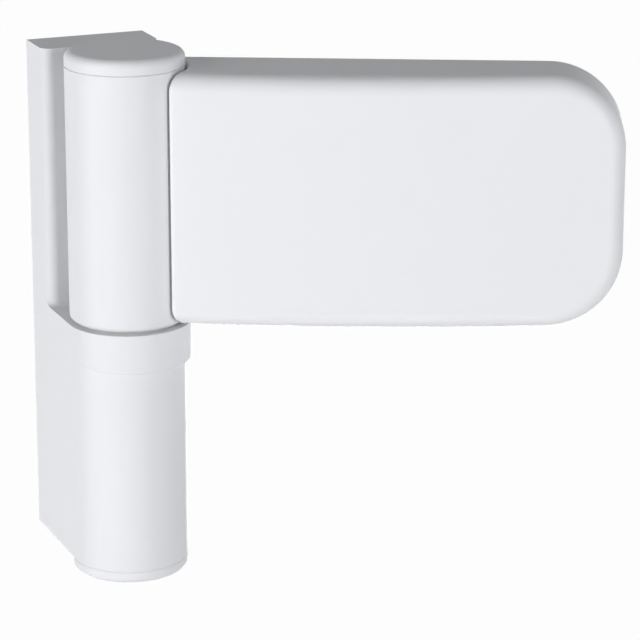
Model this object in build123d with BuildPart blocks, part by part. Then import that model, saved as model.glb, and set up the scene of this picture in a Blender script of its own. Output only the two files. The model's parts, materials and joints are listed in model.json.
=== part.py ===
from build123d import *
import os
from math import acos, atan2, cos, hypot, radians, sin

os.makedirs("parts", exist_ok=True)

# Screw-on door hinge in millimetres. The frame bracket is square to the axes: X along the door
# frame, Y into it, Z up. The origin is on the fixing face, in line with the pin, at the height of
# the parting plane between the two knuckles. The leaf stands partly open, as it is shown.

# Knuckles
knuckle_diameter = 22.0
lower_knuckle_diameter = 21.8
collar_diameter = 23.0
collar_height = 7.6
collar_edge = 0.8
lower_knuckle_height = 46.1
upper_knuckle_height = 47.6
knuckle_edge = 1.0
parting_gap = 0.5
top_cap_height = 2.95
top_cap_edge = 1.5
bottom_cap_height = 2.5
bottom_cap_edge = 1.4
cap_seam = 0.25

# Frame bracket
axis_offset = 22.8
bracket_width = 22.8
bar_rise = 49.3
bar_thickness = 9.8
bar_edge = 2.0
bar_foot_radius = 1.2
frame_hole_diameter = 5.5
frame_sink_diameter = 10.5
frame_hole_spacing = 30.0
frame_hole_middle = 25.0
core_width = 15.0
core_depth = 9.0
core_corner = 2.0
core_rib = 3.0
core_top = -12.0
core_bottom = -42.0
bar_core_height = 12.0
bar_core_depth = 5.0

# Pin and bearings
pin_diameter = 10.0
pin_chamfer = 0.6
bush_flange_diameter = 19.0
bush_flange_thickness = 1.5
lower_flange_proud = 0.3
lower_bush_diameter = 16.0
upper_bush_diameter = 14.0
bush_end_wall = 2.4
thrust_pad_diameter = 9.6
thrust_pad_thickness = 2.0
height_screw_diameter = 12.0
height_screw_length = 14.0
height_socket = 6.0
height_socket_depth = 6.0
height_travel = 3.5
height_screw_rest = 1.0

# Guard against lifting the leaf off, under the top cap
guard_screw_diameter = 5.0
guard_screw_depth = 8.0
guard_head_diameter = 8.5
guard_head_height = 2.6
guard_socket = 3.0
guard_socket_depth = 1.6
guard_washer_diameter = 10.0
guard_washer_thickness = 0.8
knuckle_web = 2.0

# Caps
cap_spigot_depth = 3.0
cap_spigot_wall = 1.7
top_spigot_diameter = 16.0
top_seat_depth = 4.6
bottom_spigot_diameter = 17.0
bottom_seat_depth = 7.0

# Leaf: lengths along it from the pin axis, depths from the pin axis towards the door
open_angle = 25.5
door_depth = 8.0
leaf_length = 91.0
cover_lift = 1.0
cover_drop = 0.1
cover_wall = 2.0
cover_corner = 14.0
cover_edge = 3.2
cover_lip = 0.8
bow_radius = 335.0
bow_peak_depth = 9.2
bow_peak_along = 35.0

# Arm tongue and base plate
tongue_end = 66.0
tongue_height = 19.0
tongue_thickness = 6.5
tongue_corner = 1.5
plate_start = 20.0
plate_thickness = 4.0
plate_corner = 3.0
rail_thickness = 2.5
rail_height = 5.0
rail_end = 64.0
door_hole_diameter = 4.8
door_sink_diameter = 8.0
door_hole_spacing = 33.0
door_hole_middle = 49.0
clip_start = 41.0
clip_length = 16.0
clip_depth = 0.7
clip_width = 0.8
clip_from_door = 2.0

# Lateral adjustment
lateral_travel = 5.0
clamp_screw_along = (30.0, 46.0)
clamp_screw_diameter = 6.0
clamp_head_diameter = 10.0
clamp_head_height = 2.5
clamp_socket = 4.0
clamp_socket_depth = 1.5
clamp_washer_diameter = 12.0
clamp_washer_thickness = 1.0
lateral_screw_diameter = 4.0
lateral_screw_grip = 9.0
lateral_bore_depth = 10.0
lateral_head_diameter = 6.0
lateral_head_height = 3.5
lateral_socket = 3.0
lateral_socket_depth = 2.0
lateral_clip_diameter = 6.0
lateral_clip_thickness = 1.0
lug_start = 73.0
lug_length = 6.0
lug_width = 14.0
lug_height = 7.0

# Clearances
running_fit = 0.05
push_fit = 0.03
thread_play = 0.1
face_gap = 0.1
slide_gap = 0.15
clip_gap = 0.2
knuckle_gap = 0.3
passage_gap = 0.4
sink_angle = 82.0
beyond = 1.0
foot_sunk = 0.5

# Heights and depths that follow from the sizes above
half_width = bracket_width / 2
lower_shift = lower_knuckle_diameter / 2 - half_width
knuckle_bottom = parting_gap
knuckle_top = knuckle_bottom + upper_knuckle_height
cover_height = knuckle_top - cover_drop - cover_lift
cover_middle = cover_lift + cover_height / 2
plate_front = door_depth - plate_thickness
tongue_back = plate_front - face_gap
tongue_front = tongue_back - tongue_thickness
tongue_middle = (tongue_back + tongue_front) / 2
washer_back = tongue_front - face_gap
head_back = washer_back - clamp_washer_thickness
web_top = knuckle_top - top_seat_depth
web_bottom = web_top - knuckle_web
bush_top = web_bottom - running_fit
bush_end = bush_top - bush_end_wall
pad_top = bush_end - running_fit
pin_top = pad_top - thrust_pad_thickness
guard_washer_bottom = web_top + clip_gap
guard_head_bottom = guard_washer_bottom + guard_washer_thickness
thread_bottom = bottom_seat_depth - lower_knuckle_height
height_screw_bottom = thread_bottom + height_screw_rest
height_screw_top = height_screw_bottom + height_screw_length
pin_bottom = height_screw_top + running_fit
lower_bush_bottom = height_screw_top + height_travel + face_gap
lower_flange_bottom = lower_flange_proud - bush_flange_thickness
bow_centre_depth = bow_radius - bow_peak_depth

# Planes and axes
pin_point = (0, -axis_offset, 0)
pin_axis = Axis(pin_point, (0, 0, 1))
fixing_face = Plane(origin=(0, 0, 0), x_dir=(1, 0, 0), z_dir=(0, -1, 0))
pin_section = Plane(origin=pin_point, x_dir=(1, 0, 0), z_dir=(0, -1, 0))
knuckle_plane = Plane(origin=pin_point, x_dir=(1, 0, 0), z_dir=(0, 0, 1))
along_leaf = Vector(cos(radians(open_angle)), -sin(radians(open_angle)), 0)
to_door = Vector(sin(radians(open_angle)), cos(radians(open_angle)), 0)
leaf_run = Axis(pin_point, along_leaf)
leaf_depth = Axis(pin_point, to_door)
leaf_plane = Plane(origin=pin_point, x_dir=along_leaf, z_dir=(0, 0, 1))


def bracket_level(height):
    """A level plane of the bracket, with its origin on the fixing face."""
    return Plane.XY.offset(height)


def bracket_cut(across):
    """An upright plane across the bracket: x out of the fixing face, y up."""
    return Plane(origin=(across, 0, 0), x_dir=(0, -1, 0), z_dir=(-1, 0, 0))


def leaf_face(depth):
    """A plane across the leaf at a depth: x along the leaf, y up, looking out of the door."""
    return Plane(origin=pin_point + to_door * depth, x_dir=along_leaf, z_dir=-to_door)


def leaf_cut(along):
    """A plane across the leaf at a length: x towards the door, y up, looking along the leaf."""
    return Plane(origin=pin_point + along_leaf * along, x_dir=to_door, z_dir=along_leaf)


def ring(inner, outer, low, high, mode=Mode.ADD):
    """In a half section through the pin: a wall between two radii and two heights."""
    with Locations((inner, low)):
        Rectangle(outer - inner, high - low, align=(Align.MIN, Align.MIN), mode=mode)


def flush_round(radius):
    """A circle flush with the bar's left side, with its other side run to the back corner."""
    middle = radius - half_width
    corner_reach = hypot(half_width - middle, axis_offset)
    turn = atan2(axis_offset, half_width - middle) - acos(radius / corner_reach)
    tangent = (middle + radius * cos(turn), radius * sin(turn) - axis_offset)
    with BuildLine() as outline:
        Polyline((-half_width, -axis_offset), (-half_width, 0), (half_width, 0), tangent)
        ThreePointArc(tangent, (middle, -axis_offset - radius), (-half_width, -axis_offset))
    make_face(outline.edges())


def foot_section():
    """In an upright cut: a hollow quarter round before the bar, sunk into bar and collar."""
    tip = bar_thickness + bar_foot_radius
    back = bar_thickness - foot_sunk
    hollow = bar_foot_radius * (1 - cos(radians(45)))
    with BuildLine() as outline:
        Polyline((tip, 0), (tip, -foot_sunk), (back, -foot_sunk), (back, bar_foot_radius))
        Line((back, bar_foot_radius), (bar_thickness, bar_foot_radius))
        ThreePointArc((bar_thickness, bar_foot_radius), (bar_thickness + hollow, hollow), (tip, 0))
    make_face(outline.edges())


def hexagon(across_flats):
    """A key socket."""
    RegularPolygon(across_flats / 2, 6, major_radius=False)


# Collar at the bracket's parting plane, rounded below
with BuildPart() as collar:
    with BuildSketch(bracket_level(-collar_height)):
        flush_round(collar_diameter / 2)
    extrude(amount=collar_height)
    lower_edges = collar.edges().group_by(Axis.Z)[0].sort_by(Axis.Y)[:-1]
    fillet(lower_edges, radius=collar_edge)

# Foot of the bar: a hollow rounding on the collar, ended by the bracket's sides
with BuildPart() as bar_foot:
    corner = half_width - bar_edge
    with BuildSketch(bracket_cut(corner)):
        foot_section()
    extrude(amount=2 * corner)
    for side in (-1, 1):
        with BuildSketch(bracket_cut(side * corner)):
            foot_section()
        corner_axis = Axis((side * corner, bar_edge - bar_thickness, 0), (0, 0, side))
        revolve(axis=corner_axis, revolution_arc=90)
    with BuildSketch(bracket_level(-foot_sunk)):
        flush_round(collar_diameter / 2)
    extrude(amount=foot_sunk + bar_foot_radius, mode=Mode.INTERSECT)

# Frame bracket: bar behind the upper knuckle, collar and lower knuckle, in one casting
with BuildPart() as frame_bracket:
    with BuildSketch(bracket_level(0)):
        with Locations((0, -bar_thickness / 2)):
            Rectangle(bracket_width, bar_thickness)
    extrude(amount=bar_rise)
    fillet(frame_bracket.edges().filter_by(Axis.Z).group_by(Axis.Y)[0], radius=bar_edge)
    with BuildSketch(bracket_level(-lower_knuckle_height)):
        flush_round(lower_knuckle_diameter / 2)
    extrude(amount=lower_knuckle_height)
    add(collar.part)
    add(bar_foot.part)
    # Bores from the top: bush flange, bush, height screw, and the cap's seat at the bottom
    with BuildSketch(pin_section):
        flange_seat = bush_flange_diameter / 2 + push_fit
        ring(0, flange_seat, lower_flange_bottom, beyond)
        ring(0, lower_bush_diameter / 2 + push_fit, lower_bush_bottom, lower_flange_bottom)
        ring(0, height_screw_diameter / 2 + thread_play, thread_bottom, lower_bush_bottom)
        ring(0, bottom_spigot_diameter / 2, -lower_knuckle_height, thread_bottom)
    revolve(axis=pin_axis, mode=Mode.SUBTRACT)
    # Screw holes through the bar, sunk from the side that the leaf hides
    with Locations(fixing_face.offset(bar_thickness)):
        with Locations((0, frame_hole_middle)):
            with GridLocations(0, frame_hole_spacing, 1, 2):
                CounterSinkHole(
                    frame_hole_diameter / 2,
                    frame_sink_diameter / 2,
                    depth=bar_thickness,
                    counter_sink_angle=sink_angle,
                )
    # Cored pockets in the fixing face, with a rib between the lower two
    core_height = (core_top - core_bottom - core_rib) / 2
    with BuildSketch(fixing_face):
        for centre in (core_top - core_height / 2, core_bottom + core_height / 2):
            with Locations((0, centre)):
                RectangleRounded(core_width, core_height, core_corner)
    extrude(amount=core_depth, mode=Mode.SUBTRACT)
    with BuildSketch(fixing_face):
        with Locations((0, frame_hole_middle)):
            RectangleRounded(core_width, bar_core_height, core_corner)
    extrude(amount=bar_core_depth, mode=Mode.SUBTRACT)
frame_bracket.part.label = "frame_bracket"
export_step(frame_bracket.part, "parts/frame_bracket.step")

# Lower bush: flanged sleeve in the collar
with BuildPart() as lower_bush:
    with BuildSketch(pin_section):
        bush_bore = pin_diameter / 2 + running_fit
        ring(bush_bore, bush_flange_diameter / 2, lower_flange_bottom, lower_flange_proud)
        ring(bush_bore, lower_bush_diameter / 2, lower_bush_bottom + push_fit, lower_flange_bottom)
    revolve(axis=pin_axis)
lower_bush.part.label = "lower_bush"
export_step(lower_bush.part, "parts/lower_bush.step")

# Height screw: set screw under the pin, turned by a key from below
with BuildPart() as height_screw:
    with BuildSketch(knuckle_plane.offset(height_screw_bottom)):
        Circle(height_screw_diameter / 2)
    extrude(amount=height_screw_length)
    chamfer(height_screw.edges().filter_by(GeomType.CIRCLE), length=pin_chamfer)
    with BuildSketch(knuckle_plane.offset(height_screw_bottom)):
        hexagon(height_socket)
    extrude(amount=height_socket_depth, mode=Mode.SUBTRACT)
height_screw.part.label = "height_screw"
export_step(height_screw.part, "parts/height_screw.step")

# Bottom cap: rounded disc under the lower knuckle, with a hollow spigot in its bore
with BuildPart() as bottom_cap:
    cap_bottom = -lower_knuckle_height - bottom_cap_height
    with BuildSketch(knuckle_plane.offset(cap_bottom)):
        with Locations((lower_shift, 0)):
            Circle(lower_knuckle_diameter / 2)
    extrude(amount=bottom_cap_height)
    fillet(bottom_cap.edges().group_by(Axis.Z)[0], radius=bottom_cap_edge)
    chamfer(bottom_cap.edges().group_by(Axis.Z)[-1], length=cap_seam)
    with BuildSketch(pin_section):
        spigot_radius = bottom_spigot_diameter / 2 - push_fit
        spigot_top = -lower_knuckle_height + cap_spigot_depth
        ring(spigot_radius - cap_spigot_wall, spigot_radius, -lower_knuckle_height, spigot_top)
    revolve(axis=pin_axis)
bottom_cap.part.label = "bottom_cap"
export_step(bottom_cap.part, "parts/bottom_cap.step")

# Hinge pin: chamfered at both ends, tapped at the top for the guard screw
with BuildPart() as hinge_pin:
    with BuildSketch(knuckle_plane.offset(pin_bottom)):
        Circle(pin_diameter / 2)
    extrude(amount=pin_top - pin_bottom)
    chamfer(hinge_pin.edges().filter_by(GeomType.CIRCLE), length=pin_chamfer)
    with BuildSketch(knuckle_plane.offset(pin_top)):
        Circle(guard_screw_diameter / 2 + push_fit)
    extrude(amount=-guard_screw_depth, mode=Mode.SUBTRACT)
hinge_pin.part.label = "hinge_pin"
export_step(hinge_pin.part, "parts/hinge_pin.step")

# Thrust pad: ring on the pin's end that carries the leaf
with BuildPart() as thrust_pad:
    with BuildSketch(pin_section):
        ring(guard_screw_diameter / 2 + slide_gap, thrust_pad_diameter / 2, pin_top, pad_top)
    revolve(axis=pin_axis)
thrust_pad.part.label = "thrust_pad"
export_step(thrust_pad.part, "parts/thrust_pad.step")

# Lift guard screw: button head over the knuckle's web, screwed into the pin
with BuildPart() as lift_guard_screw:
    with BuildSketch(pin_section):
        guard_head_top = guard_head_bottom + guard_head_height
        ring(0, guard_screw_diameter / 2, pin_top - guard_screw_depth + beyond, guard_head_bottom)
        ring(0, guard_head_diameter / 2, guard_head_bottom, guard_head_top)
    revolve(axis=pin_axis)
    fillet(lift_guard_screw.edges().group_by(Axis.Z)[-1], radius=guard_head_height / 3)
    with BuildSketch(knuckle_plane.offset(guard_head_top)):
        hexagon(guard_socket)
    extrude(amount=-guard_socket_depth, mode=Mode.SUBTRACT)
lift_guard_screw.part.label = "lift_guard_screw"
export_step(lift_guard_screw.part, "parts/lift_guard_screw.step")

# Lift guard washer
with BuildPart() as lift_guard_washer:
    with BuildSketch(pin_section):
        washer_bore = guard_screw_diameter / 2 + push_fit
        ring(washer_bore, guard_washer_diameter / 2, guard_washer_bottom, guard_head_bottom)
    revolve(axis=pin_axis)
lift_guard_washer.part.label = "lift_guard_washer"
export_step(lift_guard_washer.part, "parts/lift_guard_washer.step")

# Leaf arm: upper knuckle with a tongue that slides on the base plate
with BuildPart() as leaf_arm:
    with BuildSketch(knuckle_plane.offset(knuckle_bottom)):
        Circle(knuckle_diameter / 2)
    extrude(amount=upper_knuckle_height)
    fillet(leaf_arm.edges().group_by(Axis.Z)[0], radius=knuckle_edge)
    with BuildSketch(leaf_face(tongue_back)):
        with Locations((tongue_end / 2, cover_middle)):
            Rectangle(tongue_end, tongue_height)
    extrude(amount=tongue_thickness)
    tongue_corners = leaf_arm.edges().filter_by(leaf_depth).sort_by(leaf_run)[-2:]
    fillet(tongue_corners, radius=tongue_corner)
    # Bores from below: bush flange, bush, the guard screw's way through the web, and the cap's seat
    with BuildSketch(pin_section):
        flange_top = knuckle_bottom + bush_flange_thickness
        ring(0, bush_flange_diameter / 2 + push_fit, knuckle_bottom - beyond, flange_top)
        ring(0, upper_bush_diameter / 2 + push_fit, flange_top, web_bottom)
        ring(0, guard_screw_diameter / 2 + passage_gap, web_bottom, web_top)
        ring(0, top_spigot_diameter / 2, web_top, knuckle_top + beyond)
    revolve(axis=pin_axis, mode=Mode.SUBTRACT)
    # Slots for the clamp screws, as long as the travel
    with BuildSketch(leaf_face(tongue_back)):
        for along in clamp_screw_along:
            with Locations((along + lateral_travel / 2, cover_middle)):
                SlotCenterToCenter(lateral_travel, clamp_screw_diameter + 2 * knuckle_gap)
    extrude(amount=tongue_thickness, mode=Mode.SUBTRACT)
    # Tapped bore for the lateral screw
    with BuildSketch(leaf_cut(tongue_end)):
        with Locations((tongue_middle, cover_middle)):
            Circle(lateral_screw_diameter / 2 + thread_play)
    extrude(amount=-lateral_bore_depth, mode=Mode.SUBTRACT)
leaf_arm.part.label = "leaf_arm"
export_step(leaf_arm.part, "parts/leaf_arm.step")

# Upper bush: flanged sleeve with an end wall that stands on the thrust pad
with BuildPart() as upper_bush:
    with BuildSketch(pin_section):
        bush_bore = pin_diameter / 2 + running_fit
        flange_top = knuckle_bottom + bush_flange_thickness - push_fit
        ring(bush_bore, bush_flange_diameter / 2, knuckle_bottom, flange_top)
        ring(bush_bore, upper_bush_diameter / 2, flange_top, bush_top)
        ring(guard_screw_diameter / 2 + passage_gap, bush_bore, bush_end, bush_top)
    revolve(axis=pin_axis)
upper_bush.part.label = "upper_bush"
export_step(upper_bush.part, "parts/upper_bush.step")

# Top cap: rounded disc with a hollow spigot
with BuildPart() as top_cap:
    with BuildSketch(knuckle_plane.offset(knuckle_top)):
        Circle(knuckle_diameter / 2)
    extrude(amount=top_cap_height)
    fillet(top_cap.edges().group_by(Axis.Z)[-1], radius=top_cap_edge)
    chamfer(top_cap.edges().group_by(Axis.Z)[0], length=cap_seam)
    with BuildSketch(pin_section):
        spigot_radius = top_spigot_diameter / 2 - push_fit
        ring(spigot_radius - cap_spigot_wall, spigot_radius, knuckle_top - cap_spigot_depth, knuckle_top)
    revolve(axis=pin_axis)
top_cap.part.label = "top_cap"
export_step(top_cap.part, "parts/top_cap.step")

# Base plate: screwed to the door, with rails for the tongue and a lug for the lateral screw
plate_end = leaf_length - cover_wall - clip_gap
plate_height = cover_height - 2 * (cover_wall + clip_gap)
with BuildPart() as base_plate:
    with BuildSketch(leaf_face(door_depth)):
        with Locations(((plate_start + plate_end) / 2, cover_middle)):
            plate_outline = Rectangle(plate_end - plate_start, plate_height)
        corners = plate_outline.vertices().group_by(Axis.X)
        fillet(corners[-1], radius=cover_corner - cover_wall - clip_gap)
        fillet(corners[0], radius=plate_corner)
    extrude(amount=plate_thickness)
    with BuildSketch(leaf_face(plate_front)):
        rail_middle = tongue_height / 2 + slide_gap + rail_thickness / 2
        with Locations(((plate_start + rail_end) / 2, cover_middle)):
            with GridLocations(0, 2 * rail_middle, 1, 2):
                Rectangle(rail_end - plate_start, rail_thickness)
    extrude(amount=rail_height)
    with BuildSketch(leaf_face(plate_front)):
        with Locations((lug_start + lug_length / 2, cover_middle)):
            Rectangle(lug_length, lug_width)
    extrude(amount=lug_height)
    with Locations(leaf_face(plate_front)):
        with Locations((door_hole_middle, cover_middle)):
            with GridLocations(door_hole_spacing, door_hole_spacing, 2, 2):
                CounterSinkHole(
                    door_hole_diameter / 2,
                    door_sink_diameter / 2,
                    depth=plate_thickness,
                    counter_sink_angle=sink_angle,
                )
        for along in clamp_screw_along:
            with Locations((along, cover_middle)):
                Hole(clamp_screw_diameter / 2 + push_fit, depth=plate_thickness)
    with BuildSketch(leaf_cut(lug_start)):
        with Locations((tongue_middle, cover_middle)):
            Circle(lateral_screw_diameter / 2 + thread_play)
    extrude(amount=lug_length, mode=Mode.SUBTRACT)
    # Grooves in the long edges for the cover's clips
    with BuildSketch(leaf_cut(clip_start - clip_gap)):
        with Locations((door_depth - clip_from_door, cover_middle)):
            with GridLocations(0, plate_height, 1, 2):
                Rectangle(clip_width + 2 * clip_gap, 2 * clip_depth)
    extrude(amount=clip_length + 2 * clip_gap, mode=Mode.SUBTRACT)
base_plate.part.label = "base_plate"
export_step(base_plate.part, "parts/base_plate.step")


def cover_form(inset, edge):
    """The cover's outer form drawn in by an inset: bowed front, rounded far corners and front edges."""
    top = cover_lift + cover_height - inset
    bottom = cover_lift + inset
    end = leaf_length - inset
    with BuildPart() as form:
        with BuildSketch(leaf_face(door_depth)):
            with Locations((end / 2, cover_middle)):
                outline = Rectangle(end, top - bottom)
            fillet(outline.vertices().group_by(Axis.X)[-1], radius=cover_corner - inset)
        extrude(amount=2 * (door_depth + bow_peak_depth))
        with BuildSketch(leaf_plane.offset(bottom - beyond)):
            with Locations((bow_peak_along, bow_centre_depth)):
                Circle(bow_radius - inset)
        extrude(amount=cover_height + 2 * beyond, mode=Mode.INTERSECT)
        front = form.faces().sort_by(leaf_depth)[0]
        front_edges = front.edges().sort_by(leaf_run)[1:]
        fillet(front_edges, radius=edge)
    return form.part


# Inside of the cover, left open towards the door
with BuildPart() as cover_inside:
    add(cover_form(cover_wall, cover_edge - cover_wall))
    with BuildSketch(leaf_plane):
        Circle(knuckle_diameter / 2 + knuckle_gap + cover_wall)
    extrude(amount=cover_lift + cover_height + beyond, mode=Mode.SUBTRACT)

# Cover: moulded shell over the plate, with a hollowed end round the knuckle
with BuildPart() as cover:
    add(cover_form(0, cover_edge))
    with BuildSketch(leaf_plane):
        Circle(knuckle_diameter / 2 + knuckle_gap)
    extrude(amount=cover_lift + cover_height + beyond, mode=Mode.SUBTRACT)
    hollow = cover.faces().filter_by(GeomType.CYLINDER).sort_by(leaf_run)[0]
    fillet(hollow.edges().sort_by(leaf_depth)[:-1], radius=cover_lip)
    add(cover_inside.part, mode=Mode.SUBTRACT)
    # Way in for the tongue, open towards the door
    with BuildSketch(leaf_face(door_depth)):
        with Locations((plate_start / 2, cover_middle)):
            Rectangle(plate_start, tongue_height + 2 * passage_gap)
    extrude(amount=door_depth - tongue_front + passage_gap, mode=Mode.SUBTRACT)
    # Clips in the plate's grooves
    with BuildSketch(leaf_cut(clip_start)):
        with Locations((door_depth - clip_from_door, cover_middle)):
            with GridLocations(0, cover_height - 2 * cover_wall, 1, 2):
                Rectangle(clip_width, 2 * clip_depth)
    extrude(amount=clip_length)
cover.part.label = "cover"
export_step(cover.part, "parts/cover.step")

# Clamp screws and their washers hold the tongue on the plate
for along, place in zip(clamp_screw_along, ("inner", "outer")):
    with BuildPart() as clamp_screw:
        with BuildSketch(leaf_face(door_depth - beyond)):
            with Locations((along, cover_middle)):
                Circle(clamp_screw_diameter / 2)
        extrude(amount=door_depth - beyond - head_back)
        with BuildSketch(leaf_face(head_back)):
            with Locations((along, cover_middle)):
                Circle(clamp_head_diameter / 2)
        extrude(amount=clamp_head_height)
        with BuildSketch(leaf_face(head_back - clamp_head_height)):
            with Locations((along, cover_middle)):
                hexagon(clamp_socket)
        extrude(amount=-clamp_socket_depth, mode=Mode.SUBTRACT)
    clamp_screw.part.label = f"clamp_screw_{place}"
    export_step(clamp_screw.part, f"parts/clamp_screw_{place}.step")

    with BuildPart() as clamp_washer:
        with BuildSketch(leaf_face(washer_back)):
            with Locations((along, cover_middle)):
                Circle(clamp_washer_diameter / 2)
                Circle(clamp_screw_diameter / 2 + push_fit, mode=Mode.SUBTRACT)
        extrude(amount=clamp_washer_thickness)
    clamp_washer.part.label = f"clamp_washer_{place}"
    export_step(clamp_washer.part, f"parts/clamp_washer_{place}.step")

# Lateral screw: turns in the plate's lug and draws the tongue along
lug_end = lug_start + lug_length
with BuildPart() as lateral_screw:
    shank_start = tongue_end - lateral_screw_grip
    with BuildSketch(leaf_cut(shank_start)):
        with Locations((tongue_middle, cover_middle)):
            Circle(lateral_screw_diameter / 2)
    extrude(amount=lug_end + face_gap - shank_start)
    with BuildSketch(leaf_cut(lug_end + face_gap)):
        with Locations((tongue_middle, cover_middle)):
            Circle(lateral_head_diameter / 2)
    extrude(amount=lateral_head_height)
    with BuildSketch(leaf_cut(lug_end + face_gap + lateral_head_height)):
        with Locations((tongue_middle, cover_middle)):
            hexagon(lateral_socket)
    extrude(amount=-lateral_socket_depth, mode=Mode.SUBTRACT)
lateral_screw.part.label = "lateral_screw"
export_step(lateral_screw.part, "parts/lateral_screw.step")

# Clip that keeps the lateral screw in the lug
with BuildPart() as lateral_screw_clip:
    with BuildSketch(leaf_cut(lug_start - face_gap)):
        with Locations((tongue_middle, cover_middle)):
            Circle(lateral_clip_diameter / 2)
            Circle(lateral_screw_diameter / 2 + push_fit, mode=Mode.SUBTRACT)
    extrude(amount=-lateral_clip_thickness)
lateral_screw_clip.part.label = "lateral_screw_clip"
export_step(lateral_screw_clip.part, "parts/lateral_screw_clip.step")
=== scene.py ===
import json
from math import cos, pi, radians, sin
from typing import NamedTuple

import bpy
import numpy as np
from mathutils import Matrix, Vector


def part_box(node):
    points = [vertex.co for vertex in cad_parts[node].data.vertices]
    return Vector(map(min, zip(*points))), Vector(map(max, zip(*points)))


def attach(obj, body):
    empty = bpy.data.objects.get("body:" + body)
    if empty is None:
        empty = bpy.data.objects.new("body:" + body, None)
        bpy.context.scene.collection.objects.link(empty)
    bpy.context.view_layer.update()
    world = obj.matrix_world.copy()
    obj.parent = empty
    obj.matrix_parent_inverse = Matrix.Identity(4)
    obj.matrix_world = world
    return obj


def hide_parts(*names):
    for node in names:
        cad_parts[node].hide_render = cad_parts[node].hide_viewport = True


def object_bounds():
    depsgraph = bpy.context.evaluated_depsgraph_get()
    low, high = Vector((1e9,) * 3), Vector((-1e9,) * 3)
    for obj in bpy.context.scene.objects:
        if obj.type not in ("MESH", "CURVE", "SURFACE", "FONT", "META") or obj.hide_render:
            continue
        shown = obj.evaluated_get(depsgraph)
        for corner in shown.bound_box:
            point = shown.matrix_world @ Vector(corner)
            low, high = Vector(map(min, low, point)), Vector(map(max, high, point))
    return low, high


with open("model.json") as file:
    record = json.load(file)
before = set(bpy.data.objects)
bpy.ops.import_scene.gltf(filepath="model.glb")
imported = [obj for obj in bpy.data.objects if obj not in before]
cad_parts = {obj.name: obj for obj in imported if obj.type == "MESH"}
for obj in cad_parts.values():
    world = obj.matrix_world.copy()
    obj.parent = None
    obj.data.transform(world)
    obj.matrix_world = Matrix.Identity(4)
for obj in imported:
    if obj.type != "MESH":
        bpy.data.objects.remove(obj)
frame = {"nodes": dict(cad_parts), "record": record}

# Looks of a white screw-on door hinge, in metres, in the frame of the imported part: X along the
# door frame, Y into it, Z up, with the origin on the bracket's fixing face at the parting plane.

cad_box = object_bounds()
mm = 0.001
white = (1.0, 1.0, 1.0, 1.0)
white_strength = 1.0

# The leaf stands open by this angle. Its screws, the camera and the lamps are placed on its axes
open_angle = radians(25.5)
along_leaf = np.array((cos(open_angle), -sin(open_angle), 0.0))
to_door = np.array((sin(open_angle), cos(open_angle), 0.0))
upwards = np.array((0.0, 0.0, 1.0))


class ScrewSize(NamedTuple):
    """A screw's body, the way from its tip to its key end, and its sizes in metres.

    The thread is its diameter, the edge is the rounding of the head or the cone of a headless end, and
    the socket is its width across flats.
    """

    body: str
    way: np.ndarray
    thread: float
    pitch: float
    thread_length: float
    head_height: float
    edge: float
    socket: float
    socket_depth: float


# Screws inside the hinge, which take the places of the plain CAD ones
clamp_screw = ScrewSize(
    body="door_side", way=-to_door, thread=6 * mm, pitch=1.0 * mm, thread_length=9.5 * mm,
    head_height=2.5 * mm, edge=0.3 * mm, socket=4 * mm, socket_depth=1.5 * mm,
)
screws = {
    "height_screw": ScrewSize(
        body="height_adjuster", way=-upwards, thread=12 * mm, pitch=1.75 * mm, thread_length=14 * mm,
        head_height=0.0, edge=0.6 * mm, socket=6 * mm, socket_depth=6 * mm,
    ),
    "lift_guard_screw": ScrewSize(
        body="pin_carrier", way=upwards, thread=5 * mm, pitch=0.8 * mm, thread_length=8 * mm,
        head_height=2.6 * mm, edge=0.86 * mm, socket=3 * mm, socket_depth=1.6 * mm,
    ),
    "clamp_screw_inner": clamp_screw,
    "clamp_screw_outer": clamp_screw,
    "lateral_screw": ScrewSize(
        body="lateral_adjuster", way=along_leaf, thread=4 * mm, pitch=0.7 * mm, thread_length=15 * mm,
        head_height=3.5 * mm, edge=0.3 * mm, socket=3 * mm, socket_depth=2 * mm,
    ),
}

# Grid of a screw, its thread's form in shares of the pitch, and its socket's mouth and drilled point
# in shares of the socket's corner radius and of its width
screw_columns = 72
rows_each_pitch = 12
edge_rows = 6
thread_depth_share = 0.613
root_flat_share = 0.25
crest_flat_share = 0.125
socket_mouth_share = 1.04
socket_point_share = 0.12
sharp_angle = radians(28)

# Camera: its place from where the pin's axis leaves the top cap, in the leaf's axes, then its turns,
# and its lens and sensor in millimetres
camera_along = 60.3 * mm
camera_back = 526.0 * mm
camera_rise = 109.8 * mm
camera_turn = radians(1.93)
camera_tilt = radians(-16.22)
camera_roll = radians(-0.25)
camera_lens = 167.0
camera_sensor = 36.0
camera_shift_x = -0.06
camera_shift_y = -0.06
camera_near = 0.01


class SoftBox(NamedTuple):
    """A lamp's side and rise from the leaf's front, its width and height, and its watts."""

    side: float
    rise: float
    width: float
    height: float
    watts: float


# Light: soft boxes at one distance round the hinge, and an even dim surround
box_distance = 1.1
front_rise = radians(4)
soft_boxes = {
    "left_box": SoftBox(radians(-60), front_rise, 0.20, 1.00, 6.7),
    "front_strip": SoftBox(radians(-34), front_rise, 0.14, 1.00, 3.3),
    "right_box": SoftBox(radians(40), front_rise, 0.20, 1.00, 5.6),
    "right_strip": SoftBox(radians(66), front_rise, 0.14, 1.00, 1.8),
    "top_box": SoftBox(radians(0), radians(60), 0.60, 0.60, 0.2),
    "rear_box": SoftBox(radians(-177), radians(-24), 0.60, 0.60, 8.5),
}
surround_strength = 0.06
surround_colour = (0.80, 0.88, 1.0, 1.0)

# Floor well below the hinge, which hangs free as it is shown
floor_size = 24.0
floor_drop = 0.6
floor_colour = (0.9, 0.9, 0.9, 1.0)
floor_roughness = 0.9
floor_glow_share = 0.98

# Gloss of both white finishes
white_gloss = {"Specular IOR Level": 0.20, "IOR": 1.5}
white_roughness = 0.36

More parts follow.
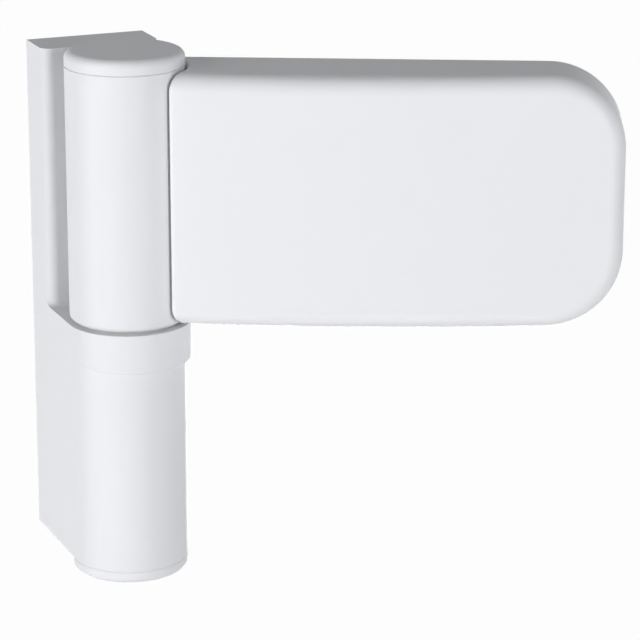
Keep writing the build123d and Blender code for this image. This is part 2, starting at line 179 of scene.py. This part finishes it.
# Places of the Mix node's share, its two colours and its mixed colour among its sockets
mix_share, mix_first, mix_second, mix_result = 0, 6, 7, 2


class Socket:
    """An output of a node. Arithmetic on it adds Math nodes to the same tree."""

    def __init__(self, nodes, link):
        self.nodes = nodes
        self.link = link

    def combine(self, operation, left, right):
        return self.nodes.node("ShaderNodeMath", {"operation": operation}, {0: left, 1: right})

    def __add__(self, other):
        return self.combine("ADD", self, other)

    def __radd__(self, other):
        return self.combine("ADD", other, self)

    def __sub__(self, other):
        return self.combine("SUBTRACT", self, other)

    def __rsub__(self, other):
        return self.combine("SUBTRACT", other, self)

    def __mul__(self, other):
        return self.combine("MULTIPLY", self, other)

    def __rmul__(self, other):
        return self.combine("MULTIPLY", other, self)


class Nodes:
    """The nodes of a material or a world, added by type, settings and sockets."""

    def __init__(self, owner):
        owner.use_nodes = True
        self.tree = owner.node_tree

    def connect(self, socket, value):
        """Link a Socket to an input, or set a plain value on it."""
        if isinstance(value, Socket):
            self.tree.links.new(value.link, socket)
        else:
            socket.default_value = value

    def node(self, kind, settings=None, sockets=None, output=0):
        """Add a node of a type: its settings first, then the values or links of its sockets."""
        made = self.tree.nodes.new(kind)
        for name, value in (settings or {}).items():
            setattr(made, name, value)
        for socket, value in (sockets or {}).items():
            self.connect(made.inputs[socket], value)
        return Socket(self, made.outputs[output])

    def where_seen(self):
        """1 for camera, glossy and transmission rays, and 0 for the rays that light the hinge."""
        camera = self.node("ShaderNodeLightPath", output="Is Camera Ray")
        glossy = self.node("ShaderNodeLightPath", output="Is Glossy Ray")
        through = self.node("ShaderNodeLightPath", output="Is Transmission Ray")
        return 1 - (1 - camera) * (1 - glossy) * (1 - through)

    def show(self, output_node, surface):
        """Put a shader on the tree's output."""
        self.connect(self.tree.nodes[output_node].inputs["Surface"], surface)


class Finish(Nodes):
    """A material with one Principled shader, whose constants are set on its own sockets."""

    def __init__(self, name, constants):
        self.material = bpy.data.materials.new(name)
        super().__init__(self.material)
        self.shader = self.tree.nodes["Principled BSDF"]
        for socket, value in constants.items():
            self.shader.inputs[socket].default_value = value
        self.place = self.node("ShaderNodeTexCoord", output="Object")

    def feed(self, socket, value):
        """Feed a shader input that changes over the surface."""
        self.connect(self.shader.inputs[socket], value)

    def noise(self, size, detail=2.0, roughness=0.5, stretch=(1, 1, 1)):
        """Noise of a size in metres across one cell, on object coordinates, from 0 to 1."""
        scaled = self.node(
            "ShaderNodeMapping",
            {"vector_type": "POINT"},
            {"Vector": self.place, "Scale": [1 / (size * share) for share in stretch]},
        )
        sockets = {"Vector": scaled, "Scale": 1.0, "Detail": detail, "Roughness": roughness}
        return self.node("ShaderNodeTexNoise", {"noise_dimensions": "3D"}, sockets, "Fac")

    def grains(self, size):
        """Distance from the middles of scattered grains of a size in metres, from 0 to about 1."""
        sockets = {"Vector": self.place, "Scale": 1 / size, "Randomness": 1.0}
        return self.node("ShaderNodeTexVoronoi", {"feature": "F1"}, sockets, "Distance")

    def between(self, share, dark, light):
        """A colour between two others by a share from 0 to 1."""
        sockets = {mix_share: share, mix_first: (*dark, 1), mix_second: (*light, 1)}
        return self.node("ShaderNodeMix", {"data_type": "RGBA"}, sockets, mix_result)

    def bump(self, height, depth):
        """Raise the surface by a height field from 0 to 1 times a depth in metres."""
        self.feed("Normal", self.node("ShaderNodeBump", None, {"Height": height, "Distance": depth}))


def powder_coat():
    """Satin powder coat on castings: soft orange peel and the faintest unevenness of tone."""
    finish = Finish("powder_coat", white_gloss)
    peel = finish.noise(0.9 * mm, detail=1.0)
    grain = finish.noise(0.16 * mm, detail=2.0)
    drift = finish.noise(26 * mm, detail=3.0)
    tone = 0.55 * drift + 0.25 * peel + 0.2 * grain
    finish.feed("Base Color", finish.between(tone, (0.795, 0.805, 0.825), (0.825, 0.832, 0.848)))
    finish.feed("Roughness", white_roughness + 0.08 * peel + 0.05 * drift)
    finish.bump(0.8 * peel + 0.2 * grain, 0.006 * mm)
    return finish.material


def moulded_white():
    """Satin white moulding: a fine even grain from the mould and slow drift in gloss."""
    finish = Finish("moulded_white", white_gloss)
    grain = finish.noise(0.22 * mm, detail=3.0, roughness=0.6)
    drift = finish.noise(34 * mm, detail=2.0)
    tone = 0.7 * drift + 0.3 * grain
    finish.feed("Base Color", finish.between(tone, (0.80, 0.81, 0.83), (0.828, 0.835, 0.85)))
    finish.feed("Roughness", white_roughness + 0.08 * grain + 0.06 * drift)
    finish.bump(grain, 0.004 * mm)
    return finish.material


def plated_steel():
    """Zinc-plated steel: bright, faintly blue, with fine turning marks and dull patches."""
    finish = Finish("plated_steel", {"Metallic": 1.0})
    turning = finish.noise(0.25 * mm, detail=2.0, stretch=(6, 6, 1))
    patches = finish.noise(5 * mm, detail=4.0)
    tone = 0.5 * turning + 0.5 * patches
    finish.feed("Base Color", finish.between(tone, (0.56, 0.57, 0.60), (0.74, 0.75, 0.77)))
    finish.feed("Roughness", 0.24 + 0.14 * patches + 0.08 * turning)
    finish.bump(turning, 0.004 * mm)
    return finish.material


def waxy_plastic():
    """Bearing plastic: dense, waxy off-white with a fine moulded grain."""
    finish = Finish("waxy_plastic", {"Specular IOR Level": 0.4})
    grain = finish.noise(0.3 * mm, detail=3.0)
    drift = finish.noise(7 * mm, detail=2.0)
    finish.feed("Base Color", finish.between(drift, (0.60, 0.59, 0.55), (0.68, 0.67, 0.63)))
    finish.feed("Roughness", 0.34 + 0.14 * grain)
    finish.bump(grain, 0.006 * mm)
    return finish.material


def plain_zinc():
    """Bare zinc die casting: grey skin with flow patches, a sandy grain and scattered dull spots."""
    finish = Finish("plain_zinc", {"Metallic": 1.0})
    flow = finish.noise(6 * mm, detail=4.0, roughness=0.6)
    sand = finish.noise(0.2 * mm, detail=3.0)
    spots = finish.grains(1.6 * mm)
    tone = 0.5 * flow + 0.3 * sand + 0.2 * spots
    finish.feed("Base Color", finish.between(tone, (0.46, 0.47, 0.49), (0.68, 0.69, 0.70)))
    finish.feed("Roughness", 0.36 + 0.16 * flow + 0.10 * spots)
    finish.bump(0.7 * sand + 0.3 * spots, 0.008 * mm)
    return finish.material


def dress_nodes():
    """Give each CAD node the finish that its slot in the record names."""
    finishes = {
        "white_coat": powder_coat(),
        "white_moulding": moulded_white(),
        "zinc_steel": plated_steel(),
        "bearing_plastic": waxy_plastic(),
        "zinc_plate": plain_zinc(),
    }
    for entry in frame["record"]["subparts"]:
        mesh = frame["nodes"][entry["node"]].data
        mesh.materials.clear()
        mesh.materials.append(finishes[entry["material_slot"]])
    return finishes


def reach(node, way):
    """Lowest and highest place of a CAD node's points along a direction."""
    mesh = frame["nodes"][node].data
    points = np.empty(3 * len(mesh.vertices))
    mesh.vertices.foreach_get("co", points)
    along = points.reshape(-1, 3) @ way
    return along.min(), along.max()


def thread_radius(size, height, angle):
    """Radius of a threaded shank over height and angle.

    The turn count is height over pitch less the share of a full turn. The distance from the middle of
    the groove gives a flat root, straight flanks and a flat crest. The groove fades out over the last
    pitch of the thread, and a cone at 45 degrees limits the tip.
    """
    turn = height / size.pitch - angle / (2 * pi)
    from_groove = np.abs(2 * (turn - np.floor(turn)) - 1)
    flank = (from_groove - root_flat_share) / (1 - root_flat_share - crest_flat_share)
    fading = np.clip((size.thread_length - height) / size.pitch, 0, 1)
    depth = thread_depth_share * size.pitch * fading * (1 - np.clip(flank, 0, 1))
    tip_radius = size.thread / 2 - thread_depth_share * size.pitch - size.edge / 2
    return np.minimum(size.thread / 2 - depth, tip_radius + height)


def screw_rows(size, length, head_radius):
    """Heights and radii of a screw from its tip to its socket's floor, on a grid of rows and columns.

    Rows run up the shank, out under the head, up its side, round its edge by a quarter circle, in to
    the socket's mouth and down the socket. The socket's radius is half its width across flats over
    the cosine of the angle from the middle of a flat. A screw without a head has its edge cut as a cone.
    """
    angle = np.linspace(0, 2 * pi, screw_columns, endpoint=False)
    shank_end = length - size.head_height
    shank_rows = int(rows_each_pitch * shank_end / size.pitch)
    shank_height = np.linspace(0, shank_end, shank_rows)[:, None] * np.ones(screw_columns)
    shank_radius = thread_radius(size, shank_height, angle)
    quarter = np.linspace(0, pi / 2, edge_rows)
    if size.head_height > 0:
        edge_height = length - size.edge * (1 - np.sin(quarter))
        edge_radius = head_radius - size.edge * (1 - np.cos(quarter))
        edge_height = np.concatenate(((shank_end,), edge_height))
        edge_radius = np.concatenate(((head_radius,), edge_radius))
    else:
        shank_radius = np.minimum(shank_radius, size.thread / 2 - size.edge + length - shank_height)
        edge_height = np.empty(0)
        edge_radius = np.empty(0)
    flat = (size.socket / 2) / np.cos(angle % (pi / 3) - pi / 6)
    mouth = np.full(screw_columns, socket_mouth_share * flat.max())
    mouth_depth = mouth[0] - flat.min()
    floor_height = length - size.socket_depth
    socket_height = np.array((length, length - mouth_depth / 2, floor_height))
    outer_height = np.concatenate((edge_height, socket_height))[:, None] * np.ones(screw_columns)
    outer_radius = np.vstack((edge_radius[:, None] * np.ones(screw_columns), mouth, flat, flat))
    return np.vstack((shank_height, outer_height)), np.vstack((shank_radius, outer_radius)), angle


def closed_mesh(name, grid, first_pole, last_pole):
    """A mesh of a grid that is closed round its columns, with a fan of triangles at each end."""
    rows, columns = grid.shape[:2]
    index = np.arange(rows * columns).reshape(rows, columns)
    after = np.roll(index, -1, axis=1)
    walls = np.stack((index[:-1], after[:-1], after[1:], index[1:]), axis=-1).reshape(-1, 4)
    first = np.full(columns, rows * columns)
    start = np.stack((first, after[0], index[0]), axis=-1)
    end = np.stack((index[-1], after[-1], first + 1), axis=-1)
    points = np.vstack((grid.reshape(-1, 3), first_pole, last_pole))
    mesh = bpy.data.meshes.new(name)
    mesh.from_pydata(points.tolist(), [], walls.tolist() + start.tolist() + end.tolist())
    mesh.shade_smooth()
    mesh.set_sharp_from_angle(angle=sharp_angle)
    return mesh


def make_screw(node, size, material):
    """A threaded screw with a hexagon socket, in the place of a plain CAD one.

    A point is the tip's middle plus the height along the screw and the radius times the cosine and
    sine of the angle on the two directions across it.
    """
    across = np.cross(size.way, upwards)
    if np.allclose(across, 0):
        across = np.array((1.0, 0.0, 0.0))
    aside = np.cross(size.way, across)
    low, high = reach(node, size.way)
    across_low, across_high = reach(node, across)
    aside_low, aside_high = reach(node, aside)
    across_middle = (across_low + across_high) / 2
    aside_middle = (aside_low + aside_high) / 2
    tip = size.way * low + across * across_middle + aside * aside_middle
    head_radius = (across_high - across_low) / 2
    height, radius, angle = screw_rows(size, high - low, head_radius)
    round_axis = np.multiply.outer(radius * np.cos(angle), across)
    round_axis += np.multiply.outer(radius * np.sin(angle), aside)
    grid = tip + np.multiply.outer(height, size.way) + round_axis
    socket_floor = high - low - size.socket_depth - socket_point_share * size.socket
    mesh = closed_mesh(f"threaded_{node}", grid, tip, tip + size.way * socket_floor)
    mesh.materials.append(material)
    screw = bpy.data.objects.new(f"threaded_{node}", mesh)
    bpy.context.scene.collection.objects.link(screw)
    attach(screw, size.body)
    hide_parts(node)


def leaf_turn(turn, tilt, roll):
    """Right, forward and up directions turned in the leaf's axes: roll, then tilt, then turn."""
    turned = Matrix.Rotation(turn, 3, "Z") @ Matrix.Rotation(tilt, 3, "X")
    turned = turned @ Matrix.Rotation(roll, 3, "Y")
    return np.column_stack((along_leaf, to_door, upwards)) @ np.array(turned)


def pin_top_point():
    """Where the pin's axis leaves the top cap."""
    low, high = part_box("hinge_pin")
    middle = (low + high) / 2
    return np.array((middle.x, middle.y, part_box("top_cap")[1].z))


def place_camera():
    """The photograph's view: in front of the leaf and a little above it."""
    lens = bpy.data.cameras.new("camera")
    lens.lens = camera_lens
    lens.sensor_width = camera_sensor
    lens.shift_x = camera_shift_x
    lens.shift_y = camera_shift_y
    lens.clip_start = camera_near
    camera = bpy.data.objects.new("camera", lens)
    right, forward, up = leaf_turn(camera_turn, camera_tilt, camera_roll).T
    place = pin_top_point() + along_leaf * camera_along - to_door * camera_back
    place = place + upwards * camera_rise
    pose = np.eye(4)
    pose[:3, :4] = np.column_stack((right, up, -forward, place))
    camera.matrix_world = Matrix(pose.tolist())
    bpy.context.scene.collection.objects.link(camera)
    bpy.context.scene.camera = camera


def place_soft_box(name, box):
    """A rectangular lamp turned to the hinge's middle, at its side and rise from the leaf's front."""
    lamp = bpy.data.lights.new(name, "AREA")
    lamp.shape = "RECTANGLE"
    lamp.size = box.width
    lamp.size_y = box.height
    lamp.energy = box.watts
    light = bpy.data.objects.new(name, lamp)
    middle = (np.array(cad_box[0]) + np.array(cad_box[1])) / 2
    level = along_leaf * sin(box.side) - to_door * cos(box.side)
    outwards = level * cos(box.rise) + upwards * sin(box.rise)
    light.location = Vector(middle + outwards * box_distance)
    light.rotation_euler = Vector(-outwards).to_track_quat("-Z", "Y").to_euler()
    light.visible_camera = False
    bpy.context.scene.collection.objects.link(light)


def set_surround():
    """An even surround that looks white but lights the hinge dimly."""
    world = bpy.data.worlds.new("surround")
    nodes = Nodes(world)
    dim = {"Color": surround_colour, "Strength": surround_strength}
    dim_light = nodes.node("ShaderNodeBackground", None, dim)
    plain_white = {"Color": white, "Strength": white_strength}
    white_view = nodes.node("ShaderNodeBackground", None, plain_white)
    sockets = {0: nodes.where_seen(), 1: dim_light, 2: white_view}
    nodes.show("World Output", nodes.node("ShaderNodeMixShader", None, sockets))
    bpy.context.scene.world = world


def lay_floor():
    """A plain pale floor far below the hinge: a square that looks white and keeps a faint shadow."""
    height = cad_box[0].z - floor_drop
    half = floor_size / 2
    plan = ((-half, -half), (half, -half), (half, half), (-half, half))
    corners = [(x, y, height) for x, y in plan]
    mesh = bpy.data.meshes.new("floor")
    mesh.from_pydata(corners, [], [(0, 1, 2, 3)])
    paper = Finish("floor_paper", {"Base Color": floor_colour, "Roughness": floor_roughness})
    matt = Socket(paper, paper.shader.outputs[0])
    glow = paper.node("ShaderNodeEmission", None, {"Color": white, "Strength": white_strength})
    sockets = {0: floor_glow_share * paper.where_seen(), 1: matt, 2: glow}
    paper.show("Material Output", paper.node("ShaderNodeMixShader", None, sockets))
    mesh.materials.append(paper.material)
    floor = bpy.data.objects.new("floor", mesh)
    bpy.context.scene.collection.objects.link(floor)


finishes = dress_nodes()
for screw_node, screw_size in screws.items():
    make_screw(screw_node, screw_size, finishes["zinc_steel"])
place_camera()
for box_name, soft_box in soft_boxes.items():
    place_soft_box(box_name, soft_box)
set_surround()
lay_floor()
bpy.context.scene.view_settings.view_transform = "Standard"
